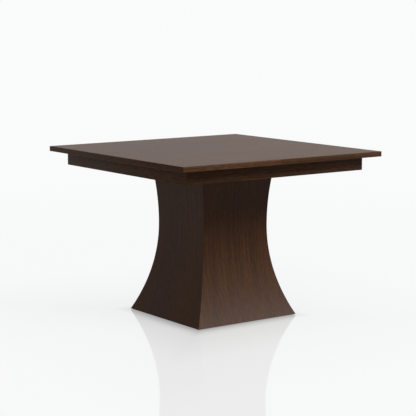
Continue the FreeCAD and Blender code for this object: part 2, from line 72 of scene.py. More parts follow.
class Slot(Enum):
    """Finish that a node asks for, by the name of its material slot."""

    STAINED_VENEER = "stained_veneer"
    STAINED_WOOD = "stained_wood"
    PLAIN_WOOD = "plain_wood"
    ZINC_STEEL = "zinc_steel"
    NYLON = "nylon"


class Side(Enum):
    """Half of the top, as the sign of its outer end on the X axis."""

    LEFT = -1
    RIGHT = 1

    @property
    def label(self) -> str:
        """Word that the half's nodes start with."""
        return self.name.lower()


class Strip(Enum):
    """Strip of a border, by the side of the half that it is on."""

    FRONT = "front"
    BACK = "back"
    END = "end"


class Border(Enum):
    """Border of a half, as the words that end the names of its nodes and of its new pieces."""

    LIPPING = ("lipping", "top_edge")
    APRON = ("apron", "apron_board")

    @property
    def node_word(self) -> str:
        """Word that the border's nodes end with."""
        return self.value[0]

    @property
    def piece_word(self) -> str:
        """Word that the new pieces end with."""
        return self.value[1]


class Flank(Enum):
    """Side of the pedestal, as its turn from the front in degrees."""

    FRONT = 0
    RIGHT = 90
    BACK = 180
    LEFT = 270

    @property
    def label(self) -> str:
        """Word that names the side."""
        return self.name.lower()


class NodeSheet:
    """Node tree of a material or of the world, emptied and ready to be filled."""

    def __init__(self, tree: bpy.types.NodeTree) -> None:
        """Keep the tree and clear it."""
        self.tree = tree
        tree.nodes.clear()

    def add(self, kind: str, inputs: dict | None = None, **settings: object) -> bpy.types.Node:
        """Add one node.

        Args:
            kind: Type name of the node.
            inputs: Values or sockets for the node's inputs, by name or number.
            settings: Properties of the node itself.

        Returns:
            The new node.
        """
        node = self.tree.nodes.new(kind)
        for name, value in settings.items():
            setattr(node, name, value)
        for key, value in (inputs or {}).items():
            if isinstance(value, bpy.types.NodeSocket):
                self.tree.links.new(value, node.inputs[key])
            else:
                node.inputs[key].default_value = value
        return node

    def maths(self, operation: str, *values: object) -> bpy.types.NodeSocket:
        """Result of a Math node on numbers or sockets."""
        return self.add("ShaderNodeMath", dict(enumerate(values)), operation=operation).outputs[0]

    def stretch(self, factor: bpy.types.NodeSocket, low: float, high: float) -> bpy.types.NodeSocket:
        """Value that is 0 where the factor is low and 1 where it is high."""
        inputs = {"Value": factor, "From Min": low, "From Max": high}
        return self.add("ShaderNodeMapRange", inputs).outputs["Result"]

    def spread(self, factor: bpy.types.NodeSocket, low: float, high: float) -> bpy.types.NodeSocket:
        """Value that is low where the factor is 0 and high where it is 1."""
        inputs = {"Value": factor, "To Min": low, "To Max": high}
        return self.add("ShaderNodeMapRange", inputs).outputs["Result"]

    def noise(self, place: bpy.types.NodeSocket, scale: float, detail: float) -> bpy.types.NodeSocket:
        """Plain noise with so many features per metre and so many finer octaves."""
        inputs = {"Vector": place, "Scale": scale, "Detail": detail}
        return self.add("ShaderNodeTexNoise", inputs).outputs["Fac"]

    def bump(self, height: bpy.types.NodeSocket, strength: float, depth: float) -> bpy.types.NodeSocket:
        """Normal of a surface with a relief that is so deep, in metres."""
        inputs = {"Height": height, "Strength": strength, "Distance": depth}
        return self.add("ShaderNodeBump", inputs).outputs["Normal"]

    def mix(
        self, share: bpy.types.NodeSocket, first: bpy.types.NodeSocket, second: bpy.types.NodeSocket
    ) -> bpy.types.NodeSocket:
        """Shader that goes over from the first to the second as the share grows."""
        return self.add("ShaderNodeMixShader", {0: share, 1: first, 2: second}).outputs[0]

    def ramp(
        self, factor: bpy.types.NodeSocket, stops: Iterable[tuple[float, Colour]]
    ) -> bpy.types.NodeSocket:
        """Add a colour ramp.

        Args:
            factor: Socket that picks the place on the ramp.
            stops: Places and colours, from low to high.

        Returns:
            The colour's socket.
        """
        node = self.add("ShaderNodeValToRGB", {"Fac": factor})
        elements = node.color_ramp.elements
        listed = list(stops)
        while len(elements) < len(listed):
            elements.new(1.0)
        for element, (place, colour) in zip(elements, listed):
            element.position = place
            element.color = (*colour, 1.0)
        return node.outputs["Color"]

    def principled(self, inputs: dict) -> None:
        """Add the shader with these inputs, and the output that shows it."""
        shader = self.add("ShaderNodeBsdfPrincipled", inputs)
        self.add("ShaderNodeOutputMaterial", {"Surface": shader.outputs["BSDF"]})


def new_material(name: str) -> tuple[bpy.types.Material, NodeSheet]:
    """Make an empty node material.

    Args:
        name: The material's name.

    Returns:
        The material and its emptied tree.
    """
    material = bpy.data.materials.new(name)
    material.use_nodes = True
    return material, NodeSheet(material.node_tree)


@dataclass(frozen=True)
class Fibres:
    """Noise drawn out along the grain: features per metre, finer octaves and share in the wood's tone."""

    along: float
    across: float
    detail: float
    share: float = 0.0
    roughness: float = 0.6
    distortion: float = 0.3

    def noise(self, sheet: NodeSheet, place: bpy.types.NodeSocket) -> bpy.types.NodeSocket:
        """Add the noise.

        Args:
            sheet: Tree to add it to.
            place: Coordinates with the grain along X.

        Returns:
            The noise's socket.
        """
        scale = (self.along, self.across, self.across)
        drawn = sheet.add("ShaderNodeMapping", {"Vector": place, "Scale": scale}).outputs["Vector"]
        inputs = {
            "Vector": drawn, "Scale": 1.0, "Detail": self.detail,
            "Roughness": self.roughness, "Distortion": self.distortion,
        }
        return sheet.add("ShaderNodeTexNoise", inputs).outputs["Fac"]


FIGURE = Fibres(along=0.8, across=9.0, detail=3.0, share=0.22)
STREAKS = Fibres(along=2.2, across=110.0, detail=4.0, share=0.36)
FLECKS = Fibres(along=28.0, across=240.0, detail=2.0, share=0.42)
PORES = Fibres(along=45.0, across=1300.0, detail=1.0)


@dataclass(frozen=True)
class Wood:
    """Wood under a stain and a satin lacquer, or bare."""

    name: str
    dark: Colour
    middle: Colour
    light: Colour
    specular: float
    roughness: float
    pore_depth: float
    tone_places: tuple[float, float, float] = (0.4, 0.5, 0.6)
    board_step: Point = (3.7, 1.3, 2.9)
    pore_rim: float = 0.42
    pore_floor: float = 0.30
    gloss_spread: float = 0.06
    streak_height: float = 0.3
    relief: float = 0.12
    relief_depth: float = 0.2 * MM

    def material(
        self, piece: str, grain: Grain, board: int, axes: Point = (1.0, 1.0, 1.0)
    ) -> bpy.types.Material:
        """Make the wood of one piece.

        Args:
            piece: The piece's name.
            grain: Way that its fibres run.
            board: Number of the board that it is cut from; other numbers have other figure.
            axes: Axes that the figure changes along; 0 lays it flat on a bent sheet.

        Returns:
            The piece's material.
        """
        material, sheet = new_material(f"{self.name}_{piece}")
        place = sheet.add("ShaderNodeTexCoord").outputs["Object"]
        laid = sheet.add("ShaderNodeVectorMath", {0: place, 1: axes}, operation="MULTIPLY").outputs[0]
        shift = tuple(step * board for step in self.board_step)
        turn = {"Vector": laid, "Rotation": grain.value, "Location": shift}
        turned = sheet.add("ShaderNodeMapping", turn).outputs["Vector"]
        figure = FIGURE.noise(sheet, turned)
        streaks = STREAKS.noise(sheet, turned)
        flecks = FLECKS.noise(sheet, turned)
        pores = sheet.stretch(PORES.noise(sheet, turned), self.pore_rim, self.pore_floor)
        mixed = sheet.maths("MULTIPLY", figure, FIGURE.share)
        mixed = sheet.maths("MULTIPLY_ADD", streaks, STREAKS.share, mixed)
        mixed = sheet.maths("MULTIPLY_ADD", flecks, FLECKS.share, mixed)
        colour = sheet.ramp(mixed, zip(self.tone_places, (self.dark, self.middle, self.light)))
        shade = sheet.maths("SUBTRACT", 1.0, sheet.maths("MULTIPLY", pores, self.pore_depth))
        stained = sheet.add("ShaderNodeVectorMath", {0: colour, "Scale": shade}, operation="SCALE").outputs[0]
        height = sheet.maths("SUBTRACT", sheet.maths("MULTIPLY", streaks, self.streak_height), pores)
        smooth, coarse = self.roughness - self.gloss_spread, self.roughness + self.gloss_spread
        sheet.principled(
            {
                "Base Color": stained,
                "Roughness": sheet.spread(streaks, smooth, coarse),
                "Specular IOR Level": self.specular,
                "Normal": sheet.bump(height, self.relief, self.relief_depth),
            }
        )
        return material


@dataclass(frozen=True)
class ZincSteel:
    """Sheet and wire steel with a bright zinc plating that is cloudy and faintly grained."""

    name: str
    bright: Colour
    dull: Colour
    roughness: float
    cloud_scale: float = 60.0
    cloud_detail: float = 5.0
    grain_scale: float = 1500.0
    grain_detail: float = 2.0
    tone_places: tuple[float, float] = (0.35, 0.65)
    duller: float = 0.1
    glossier: float = 0.05
    relief: float = 0.08
    relief_depth: float = 0.05 * MM

    def material(self, piece: str) -> bpy.types.Material:
        """Make the plating of one piece.

        Args:
            piece: The piece's name.

        Returns:
            The piece's material.
        """
        material, sheet = new_material(f"{self.name}_{piece}")
        place = sheet.add("ShaderNodeTexCoord").outputs["Object"]
        clouds = sheet.noise(place, self.cloud_scale, self.cloud_detail)
        grains = sheet.noise(place, self.grain_scale, self.grain_detail)
        coarse, smooth = self.roughness + self.duller, self.roughness - self.glossier
        sheet.principled(
            {
                "Base Color": sheet.ramp(clouds, zip(self.tone_places, (self.dull, self.bright))),
                "Metallic": 1.0,
                "Roughness": sheet.spread(clouds, coarse, smooth),
                "Normal": sheet.bump(grains, self.relief, self.relief_depth),
            }
        )
        return material


@dataclass(frozen=True)
class Nylon:
    """Moulded nylon with a faint mould texture."""

    name: str
    pale: Colour
    deep: Colour
    roughness: float
    cloud_scale: float = 40.0
    cloud_detail: float = 3.0
    grain_scale: float = 2500.0
    grain_detail: float = 2.0
    tone_places: tuple[float, float] = (0.3, 0.7)
    duller: float = 0.08
    glossier: float = 0.05
    relief: float = 0.1
    relief_depth: float = 0.05 * MM

    def material(self, piece: str) -> bpy.types.Material:
        """Make the nylon of one piece.

        Args:
            piece: The piece's name.

        Returns:
            The piece's material.
        """
        material, sheet = new_material(f"{self.name}_{piece}")
        place = sheet.add("ShaderNodeTexCoord").outputs["Object"]
        clouds = sheet.noise(place, self.cloud_scale, self.cloud_detail)
        grains = sheet.noise(place, self.grain_scale, self.grain_detail)
        smooth, coarse = self.roughness - self.glossier, self.roughness + self.duller
        sheet.principled(
            {
                "Base Color": sheet.ramp(clouds, zip(self.tone_places, (self.deep, self.pale))),
                "Roughness": sheet.spread(grains, smooth, coarse),
                "Normal": sheet.bump(grains, self.relief, self.relief_depth),
            }
        )
        return material


VENEER = Wood(
    "walnut_veneer", (0.027, 0.0097, 0.0026), (0.046, 0.0170, 0.0047), (0.068, 0.0273, 0.0086),
    specular=0.03, roughness=0.37, pore_depth=0.45,
)
CURVED = Wood(
    "walnut_curved", (0.0221, 0.0076, 0.0018), (0.0379, 0.0133, 0.0033), (0.0569, 0.0214, 0.0059),
    specular=0.086, roughness=0.485, pore_depth=0.5,
)
SOLID = Wood(
    "walnut_stained", (0.0298, 0.0122, 0.0050), (0.0486, 0.0206, 0.0088), (0.0707, 0.0323, 0.0148),
    specular=0.05, roughness=0.44, pore_depth=0.45,
)
# Brighter copy of the stained wood for the aprons: painted light that lifts them out of the shade under the
# top's overhang
APRON = Wood(
    "walnut_apron", (0.0325, 0.0133, 0.0055), (0.0530, 0.0225, 0.0096), (0.0771, 0.0352, 0.0161),
    specular=0.05, roughness=0.44, pore_depth=0.45,
)
# Brighter copy of the stained wood for the left front lipping: painted light, standing in for more of the
# key's light on that end of the edge
PAINTED_LIGHT_WOOD = Wood(
    "walnut_lighter", (0.0440, 0.0184, 0.0080), (0.0710, 0.0306, 0.0134), (0.1020, 0.0468, 0.0222),
    specular=0.05, roughness=0.44, pore_depth=0.45,
)
BARE = Wood(
    "bare_beech", (0.40, 0.255, 0.140), (0.50, 0.335, 0.195), (0.58, 0.41, 0.255),
    specular=0.25, roughness=0.6, pore_depth=0.25,
)
ZINC = ZincSteel("zinc_steel", bright=(0.62, 0.62, 0.60), dull=(0.48, 0.47, 0.44), roughness=0.34)
NYLON = Nylon("nylon", pale=(0.74, 0.72, 0.66), deep=(0.66, 0.63, 0.56), roughness=0.45)


class Bench:
    """What the frame says of its nodes, and the steps that every new piece goes through."""

    copy_merge: ClassVar[float] = 0.002 * MM
    piece_merge: ClassVar[float] = 0.005 * MM
    bodies: ClassVar[dict[str, str]] = {
        node: body for body, nodes in frame["record"]["behaviour"]["bodies"].items() for node in nodes
    }
    slots: ClassVar[dict[str, Slot]] = {
        row["node"]: Slot(row["material_slot"]) for row in frame["record"]["subparts"]
    }

    @staticmethod
    def box(low: Vector, high: Vector) -> bmesh.types.BMesh:
        """Start a block.

        Args:
            low: Its lowest corner.
            high: Its highest corner.

        Returns:
            The block's mesh.
        """
        block = bmesh.new()
        place = Matrix.Translation((low + high) / 2) @ Matrix.Diagonal((*(high - low), 1.0))
        bmesh.ops.create_cube(block, size=1.0, matrix=place)
        return block

    @staticmethod
    def ease(block: bmesh.types.BMesh, edges: list[bmesh.types.BMEdge], width: float, segments: int) -> None:
        """Round edges of a block.

        Args:
            block: The block's mesh.
            edges: Edges to round.
            width: How far the rounding reaches from each edge.
            segments: Facets across the rounding.
        """
        bmesh.ops.bevel(
            block, geom=edges, offset=width, affect="EDGES", segments=segments, profile=0.5, material=-1,
            clamp_overlap=True,
        )

    @staticmethod
    def saw(block: bmesh.types.BMesh, point: Vector, normal: Vector) -> None:
        """Cut a block on a plane, keep what lies behind the plane and close the cut.

        Args:
            block: The block's mesh.
            point: A point on the plane.
            normal: Side that falls away.
        """
        everything = [*block.verts, *block.edges, *block.faces]
        cut = bmesh.ops.bisect_plane(
            block, geom=everything, plane_co=point, plane_no=normal, clear_outer=True
        )
        rim = [edge for edge in cut["geom_cut"] if isinstance(edge, bmesh.types.BMEdge)]
        bmesh.ops.holes_fill(block, edges=rim)

    @staticmethod
    def lathe(rings: list[tuple[float, float]], segments: int) -> bmesh.types.BMesh:
        """Turn a closed piece about the Z axis.

        Args:
            rings: Radius and height of each ring, from one end to the other.
            segments: Facets round the piece.

        Returns:
            The piece's mesh.
        """
        turned = bmesh.new()
        radius, height = rings[0]
        bmesh.ops.create_circle(
            turned, cap_ends=True, radius=radius, segments=segments, matrix=Matrix.Translation((0, 0, height))
        )
        rim = turned.edges[:]
        for wider, further in rings[1:]:
            grown = bmesh.ops.extrude_edge_only(turned, edges=rim)["geom"]
            verts = [item for item in grown if isinstance(item, bmesh.types.BMVert)]
            rim = [item for item in grown if isinstance(item, bmesh.types.BMEdge)]
            rim = [edge for edge in rim if all(vert in verts for vert in edge.verts)]
            bmesh.ops.scale(turned, verts=verts, vec=(wider / radius, wider / radius, 1.0))
            bmesh.ops.translate(turned, verts=verts, vec=(0, 0, further - height))
            radius, height = wider, further
        bmesh.ops.holes_fill(turned, edges=rim)
        bmesh.ops.recalc_face_normals(turned, faces=turned.faces)
        return turned

    @classmethod
    def merged(cls, node: str) -> bmesh.types.BMesh:
        """Copy a node's mesh with its loose triangles joined.

        Args:
            node: The node's name.

        Returns:
            The joined copy.
        """
        copy = bmesh.new()
        copy.from_mesh(frame["nodes"][node].data)
        bmesh.ops.remove_doubles(copy, verts=copy.verts, dist=cls.copy_merge)
        return copy

    @staticmethod
    def solids(copy: bmesh.types.BMesh) -> list[list[bmesh.types.BMVert]]:
        """Part a joined copy into its separate solids.

        Args:
            copy: The joined copy.

        Returns:
            The vertices of each solid.
        """
        left = set(copy.verts)
        found = []
        for start in copy.verts:
            if start not in left:
                continue
            left.discard(start)
            solid = [start]
            for vert in solid:
                for edge in vert.link_edges:
                    other = edge.other_vert(vert)
                    if other in left:
                        left.discard(other)
                        solid.append(other)
            found.append(solid)
        return found

    @staticmethod
    def extent(verts: Iterable[bmesh.types.BMVert]) -> tuple[Vector, Vector]:
        """Lowest and highest corner of some vertices."""
        places = [vert.co for vert in verts]
        return Vector(map(min, *places)), Vector(map(max, *places))

    @staticmethod
    def join(whole: bmesh.types.BMesh, piece: bmesh.types.BMesh) -> None:
        """Add a mesh to another one and free it.

        Args:
            whole: Mesh that grows.
            piece: Mesh to add.
        """
        mesh = bpy.data.meshes.new("loose")
        piece.to_mesh(mesh)
        piece.free()
        whole.from_mesh(mesh)
        bpy.data.meshes.remove(mesh)

    @classmethod
    def remake(
        cls,
        node: str,
        name: str,
        make: Callable[[list[bmesh.types.BMVert]], bmesh.types.BMesh],
        material: bpy.types.Material,
    ) -> None:
        """Make each solid of a node anew, as one piece.

        Args:
            node: The node's name.
            name: Name of the new piece.
            make: Method that makes one of the solids from its vertices.
            material: Their material.
        """
        whole = bmesh.new()
        copy = cls.merged(node)
        for solid in cls.solids(copy):
            cls.join(whole, make(solid))
        copy.free()
        cls.finish(whole, name, node, [material])

    @staticmethod
    def rank(item: bmesh.types.BMEdge | bmesh.types.BMFace) -> list[int]:
        """Numbers of an edge's or a face's vertices, from low to high."""
        return sorted(vert.index for vert in item.verts)

    @classmethod
    def line_up(cls, block: bmesh.types.BMesh) -> None:
        """Put edges and faces in the order of their vertices, because the operators' own order varies.

        Args:
            block: The mesh to put in order.
        """
        block.verts.index_update()
        for group in (block.edges, block.faces):
            for number, item in enumerate(sorted(group, key=cls.rank)):
                item.index = number
            group.sort()

    @classmethod
    def finish(
        cls, block: bmesh.types.BMesh, name: str, node: str, materials: list[bpy.types.Material]
    ) -> None:
        """Turn a mesh into the piece that stands for a node and rides on the node's body.

        Args:
            block: The finished mesh.
            name: The piece's name.
            node: Node that it stands for.
            materials: Its materials, in the order of the faces' numbers.
        """
        bmesh.ops.remove_doubles(block, verts=block.verts, dist=cls.piece_merge)
        bmesh.ops.dissolve_degenerate(block, edges=block.edges, dist=cls.piece_merge)
        bmesh.ops.recalc_face_normals(block, faces=block.faces)
        cls.line_up(block)
        mesh = bpy.data.meshes.new(name)
        block.to_mesh(mesh)
        block.free()
        mesh.shade_smooth()
        mesh.set_sharp_from_angle(angle=SHARP_ANGLE)
        for material in materials:
            mesh.materials.append(material)
        piece = bpy.data.objects.new(name, mesh)
        bpy.context.scene.collection.objects.link(piece)
        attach(piece, cls.bodies[node])
        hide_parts(node)
        log.info("%s stands for %s, %d faces", name, node, len(mesh.polygons))

    @staticmethod
    def paint(node: str, material: bpy.types.Material) -> None:
        """Give a carried-over node its finish.

        Args:
            node: The node's name.
            material: Its material.
        """
        materials = frame["nodes"][node].data.materials
        materials.clear()
        materials.append(material)
        log.info("%s is finished in %s", node, material.name)


@dataclass
class Pedestal:
    """Hollow column of four concave panels that meet on mitres."""

    waist_width: float = 0.349
    waist_height: float = 0.410
    head_width: float = 0.392
    thickness: float = 0.018
    lower_steps: int = 28
    upper_steps: int = 14
    sheet_merge: float = 0.01 * MM
    foot_width: float = field(init=False)
    foot: float = field(init=False)
    head: float = field(init=False)

    def __post_init__(self) -> None:
        """Read the foot's width and the heights of both ends from the model."""
        low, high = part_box("pedestal_front_panel")
        self.foot_width = high.x - low.x
        self.foot, self.head = low.z, high.z

    def build(self) -> None:
        """Build and veneer the four panels."""
        for number, flank in enumerate(Flank):
            node = f"pedestal_{flank.label}_panel"
            axes = (1.0, 0.0, 1.0) if flank in (Flank.FRONT, Flank.BACK) else (0.0, 1.0, 1.0)
            material = CURVED.material(node, Grain.UPRIGHT, number, axes)
            Bench.finish(self.panel(flank), f"{flank.label}_veneered_panel", node, [material])

    @staticmethod
    def arc(rise: float, reach: float) -> float:
        """Radius of the arc that is upright at the waist, rises so far and ends so far out."""
        return (rise ** 2 + reach ** 2) / (2 * reach)

    def panel(self, flank: Flank) -> bmesh.types.BMesh:
        """Bend a sheet down and up from the waist, give it its thickness and saw its mitres.

        Args:
            flank: Side that the panel goes on.

        Returns:
            The panel's mesh.
        """
        sheet = bmesh.new()
        face = -self.waist_width / 2
        # The sheet starts twice as wide as the foot, and the mitres trim it
        ends = [sheet.verts.new((x, face, self.waist_height)) for x in (-self.foot_width, self.foot_width)]
        waist = [*ends, sheet.edges.new(ends)]
        bends = (
            (self.waist_height - self.foot, (self.foot_width - self.waist_width) / 2, -1, self.lower_steps),
            (self.head - self.waist_height, (self.head_width - self.waist_width) / 2, 1, self.upper_steps),
        )
        for rise, reach, way, steps in bends:
            radius = self.arc(rise, reach)
            bmesh.ops.spin(
                sheet, geom=waist, cent=(0, face - radius, self.waist_height), axis=(1, 0, 0),
                angle=way * (math.asin(rise / radius) + self.thickness / radius), steps=steps,
                use_merge=False, use_duplicate=False,
            )
        bmesh.ops.remove_doubles(sheet, verts=sheet.verts, dist=self.sheet_merge)
        bmesh.ops.recalc_face_normals(sheet, faces=sheet.faces)
        outward = sum(side.normal.y for side in sheet.faces) < 0
        wall = self.thickness if outward else -self.thickness
        bmesh.ops.solidify(sheet, geom=sheet.faces[:], thickness=wall)
        for x in (-1, 1):
            Bench.saw(sheet, Vector(), Vector((x, 1, 0)))
        Bench.saw(sheet, Vector((0, 0, self.foot)), Vector((0, 0, -1)))
        Bench.saw(sheet, Vector((0, 0, self.head)), Vector((0, 0, 1)))
        turn = Matrix.Rotation(math.radians(flank.value), 3, "Z")
        bmesh.ops.rotate(sheet, verts=sheet.verts, matrix=turn)
        return sheet


@dataclass
class TopHalf:
    """One half of the top: the panel, its lippings and the apron below, mitred at two corners."""

    side: Side
    top_ease: float = 0.002
    apron_ease: float = 0.001
    ease_segments: int = 4
    face_up_limit: float = 0.9
    panel_board: int = 5
    lighter_board: int = 13
    edge_boards: ClassVar[dict[Side, int]] = {Side.LEFT: 6, Side.RIGHT: 26}

    def build(self) -> None:
        """Build the strips of the top's edge and of the apron."""
        self.border(Border.LIPPING, self.top_ease)
        self.border(Border.APRON, self.apron_ease)

    def dress(self) -> None:
        """Veneer the panel."""
        panel = f"{self.side.label}_top_panel"
        Bench.paint(panel, VENEER.material(panel, Grain.ALONG_X, self.panel_board))

    def border(self, border: Border, ease: float) -> None:
        """Build the front, back and end strips of a border.

        Args:
            border: Border to build.
            ease: Rounding of the outer edges.
        """
        nodes = {strip: f"{self.side.label}_{strip.value}_{border.node_word}" for strip in Strip}
        corners = [corner for node in nodes.values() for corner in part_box(node)]
        low, high = Vector(map(min, *corners)), Vector(map(max, *corners))
        seam = low.x if self.side is Side.RIGHT else high.x
        inside = -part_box(nodes[Strip.FRONT])[1].y
        for strip, node in nodes.items():
            block = Bench.box(low, high)
            outer = [edge for edge in block.edges if any(abs(vert.co.x - seam) > MM for vert in edge.verts)]
            Bench.ease(block, outer, ease, self.ease_segments)
            for point, normal in self.cuts(strip, inside):
                Bench.saw(block, Vector(point), Vector(normal))
            name = f"{self.side.label}_{strip.value}_{border.piece_word}"
            Bench.finish(block, name, node, self.woods(block, node, border, strip))

    def cuts(self, strip: Strip, inside: float) -> list[tuple[Point, Point]]:
        """Cuts that leave one strip of a whole slab: first along its inner side, then on its mitres.

        Args:
            strip: Strip to leave.
            inside: Distance from the table's axis to the strips' inner sides.

        Returns:
            A point on each cut and the side that falls away.
        """
        out = self.side.value
        axis = (0, 0, 0)
        if strip is Strip.END:
            return [((out * inside, 0, 0), (-out, 0, 0)), (axis, (-out, 1, 0)), (axis, (-out, -1, 0))]
        back = 1 if strip is Strip.FRONT else -1
        return [((0, -back * inside, 0), (0, back, 0)), (axis, (out, back, 0))]

    def woods(
        self, block: bmesh.types.BMesh, node: str, border: Border, strip: Strip
    ) -> list[bpy.types.Material]:
        """Choose a strip's woods; a lipping's upper face carries on the panel's veneer.

        Args:
            block: The strip's mesh, whose faces get their numbers.
            node: Node that it stands for.
            border: Border that it belongs to.
            strip: Its place in the border.

        Returns:
            The woods, in the order of the faces' numbers.
        """
        # Aprons take their brighter copy, which paints light on them
        wood, board = (APRON if border is Border.APRON else SOLID), self.edge_boards[self.side]
        # The left front lipping takes the brighter copy, which paints light on that end of the edge
        if (self.side, border, strip) == (Side.LEFT, Border.LIPPING, Strip.FRONT):
            wood, board = PAINTED_LIGHT_WOOD, self.lighter_board
        grain = Grain.ALONG_Y if strip is Strip.END else Grain.ALONG_X
        woods = [wood.material(node, grain, board)]
        if border is Border.LIPPING:
            woods.append(VENEER.material(f"{node}_face", Grain.ALONG_X, self.panel_board))
            for face in block.faces:
                face.material_index = int(face.normal.z > self.face_up_limit)
        return woods


@dataclass
class Screws:
    """Countersunk screws with a cross recess in the head."""

    head_segments: int = 24
    land: float = 0.0003
    point: float = 0.004
    tip_share: float = 0.2
    flat_limit: float = 0.99
    recess_half_width: float = 0.0006
    recess_reach: float = 0.55
    recess_depth: float = 0.0015
    recess_taper: float = 0.5
    node_ending: str = "_screws"

    def build(self) -> None:
        """Build and plate every node of screws."""
        for node in sorted(frame["nodes"]):
            if node.endswith(self.node_ending):
                name = f"{node.removesuffix(self.node_ending)}_cross_head_screws"
                Bench.remake(node, name, self.screw, ZINC.material(node))

    def screw(self, solid: list[bmesh.types.BMVert]) -> bmesh.types.BMesh:
        """Turn one screw, press the cross into its head and put it in its place.

        Args:
            solid: Vertices of the screw in the model.

        Returns:
            The screw's mesh.
        """
        low, high = Bench.extent(solid)
        middle = (low + high) / 2
        length = high.z - low.z
        reach = {
            end: max((vert.co.xy - middle.xy).length for vert in solid if abs(vert.co.z - end) < self.land)
            for end in (low.z, high.z)
        }
        head, shank = max(reach.values()), min(reach.values())
        rings = [(head - self.land, 0.0), (head, -self.land), (shank, shank - head)]
        rings += [(shank, self.point - length), (shank * self.tip_share, -length)]
        turned = Bench.lathe(rings, self.head_segments)
        self.recess(turned, head)
        face = high.z
        if reach[low.z] > reach[high.z]:
            bmesh.ops.rotate(turned, verts=turned.verts, matrix=Matrix.Rotation(math.pi, 3, "X"))
            face = low.z
        bmesh.ops.translate(turned, verts=turned.verts, vec=(middle.x, middle.y, face))
        return turned

    def recess(self, turned: bmesh.types.BMesh, head: float) -> None:
        """Press a tapering cross into the flat of a head.

        Args:
            turned: The screw's mesh, its head at the origin.
            head: Radius of the head.
        """
        arm = head * self.recess_reach
        for axis in (Vector((1, 0, 0)), Vector((0, 1, 0))):
            for offset in (-arm, -self.recess_half_width, self.recess_half_width, arm):
                flats = [face for face in turned.faces if face.normal.z > self.flat_limit]
                geom = dict.fromkeys(item for face in flats for item in (face, *face.edges, *face.verts))
                bmesh.ops.bisect_plane(turned, geom=list(geom), plane_co=axis * offset, plane_no=axis)
        cross = []
        for face in turned.faces:
            across = sorted(abs(value) for value in face.calc_center_median().xy)
            if face.normal.z > self.flat_limit and across[0] < self.recess_half_width and across[1] < arm:
                cross.append(face)
        sunk = bmesh.ops.extrude_face_region(turned, geom=cross)["geom"]
        verts = [item for item in sunk if isinstance(item, bmesh.types.BMVert)]
        bmesh.ops.translate(turned, verts=verts, vec=(0, 0, -self.recess_depth))
        bmesh.ops.scale(turned, verts=verts, vec=(self.recess_taper, self.recess_taper, 1.0))
        bmesh.ops.delete(turned, geom=cross, context="FACES")


@dataclass
class TurnedPieces:
    """Nylon glides under the pedestal and wooden pins across the top's seam."""

    segments: int = 40
    glide_round: float = 0.0015
    glide_top_round: float = 0.0005
    bulge_share: float = 0.3
    rim_share: float = 0.9
    nail_end_share: float = 0.01
    nail_point: float = 0.003
    nail_tip_share: float = 0.2
    pin_chamfer: float = 0.0012
    pin_board: int = 11

    def build(self) -> None:
        """Build and dress the glides and the pins."""
        nylon = NYLON.material("pedestal_glides")
        Bench.remake("pedestal_glides", "nailed_glides", self.glide, nylon)
        beech = BARE.material("table_pins", Grain.ALONG_X, self.pin_board)
        Bench.remake("table_pins", "chamfered_pins", self.pin, beech)

    def glide(self, solid: list[bmesh.types.BMVert]) -> bmesh.types.BMesh:
        """Turn one glide with a rounded rim and a pointed nail.

        Args:
            solid: Vertices of the glide in the model.

        Returns:
            The glide's mesh.
        """
        low, high = Bench.extent(solid)
        middle = (low + high) / 2
        wide = (high.x - low.x) / 2
        end = high.z - (high.z - low.z) * self.nail_end_share
        nail = max((vert.co.xy - middle.xy).length for vert in solid if vert.co.z > end)
        pad = max(vert.co.z for vert in solid if (vert.co.xy - middle.xy).length > wide * self.rim_share)
        soft, slight = self.glide_round, self.glide_top_round
        bulge = soft * self.bulge_share
        rings = [(wide - soft, low.z), (wide - bulge, low.z + bulge), (wide, low.z + soft)]
        rings += [(wide, pad - slight), (wide - slight, pad), (nail, pad)]
        rings += [(nail, high.z - self.nail_point), (nail * self.nail_tip_share, high.z)]
        turned = Bench.lathe(rings, self.segments)
        bmesh.ops.translate(turned, verts=turned.verts, vec=(middle.x, middle.y, 0))
        return turned

    def pin(self, solid: list[bmesh.types.BMVert]) -> bmesh.types.BMesh:
        """Turn one pin with chamfered ends.

        Args:
            solid: Vertices of the pin in the model.

        Returns:
            The pin's mesh.
        """
        low, high = Bench.extent(solid)
        half = (high.x - low.x) / 2
        wide = (high.z - low.z) / 2
        soft = self.pin_chamfer
        rings = [(wide - soft, half), (wide, half - soft), (wide, soft - half), (wide - soft, -half)]
        turned = Bench.lathe(rings, self.segments)
        bmesh.ops.rotate(turned, verts=turned.verts, matrix=Matrix.Rotation(math.pi / 2, 3, "Y"))
        bmesh.ops.translate(turned, verts=turned.verts, vec=(low + high) / 2)
        return turned


